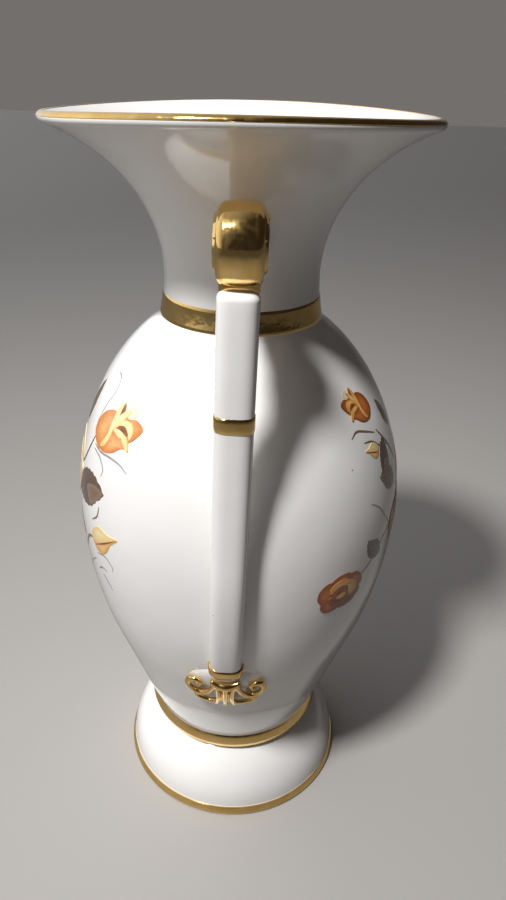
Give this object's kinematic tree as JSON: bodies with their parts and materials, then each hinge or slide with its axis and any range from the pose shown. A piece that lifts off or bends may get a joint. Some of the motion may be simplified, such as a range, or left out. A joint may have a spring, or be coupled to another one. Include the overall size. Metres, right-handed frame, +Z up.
{
  "type": "porcelain vase",
  "caption": "Amphora-shaped porcelain vase with a trumpet mouth, a domed foot, two upright strap handles ending in gilded volutes and scroll mounts, and gilded bands.",
  "frame": {"origin": "centre of the foot's resting ring, on the surface that the vase stands on", "axes": "+Z up along the vase's axis; the two handles on +X and -X; the two decorated faces on -Y and +Y"},
  "size_m": [0.156, 0.1366, 0.3],
  "materials": {
    "porcelain": "white glazed porcelain, high gloss",
    "gilded_porcelain": "porcelain covered with bright polished gold",
    "gilding": "bright burnished gold film"
  },
  "bodies": {
    "root": {"vase_body": "porcelain", "foot": "porcelain", "joint_bead": "gilded_porcelain", "foot_edge_gilding": "gilding", "neck_gilding": "gilding", "rim_gilding": "gilding", "right_handle_strap": "porcelain", "right_handle_volute": "gilded_porcelain", "right_handle_band": "gilding", "right_handle_collar": "gilded_porcelain", "right_handle_pad": "porcelain", "right_handle_scroll": "gilded_porcelain", "left_handle_strap": "porcelain", "left_handle_volute": "gilded_porcelain", "left_handle_band": "gilding", "left_handle_collar": "gilded_porcelain", "left_handle_pad": "porcelain", "left_handle_scroll": "gilded_porcelain"}
  },
  "joints": []
}
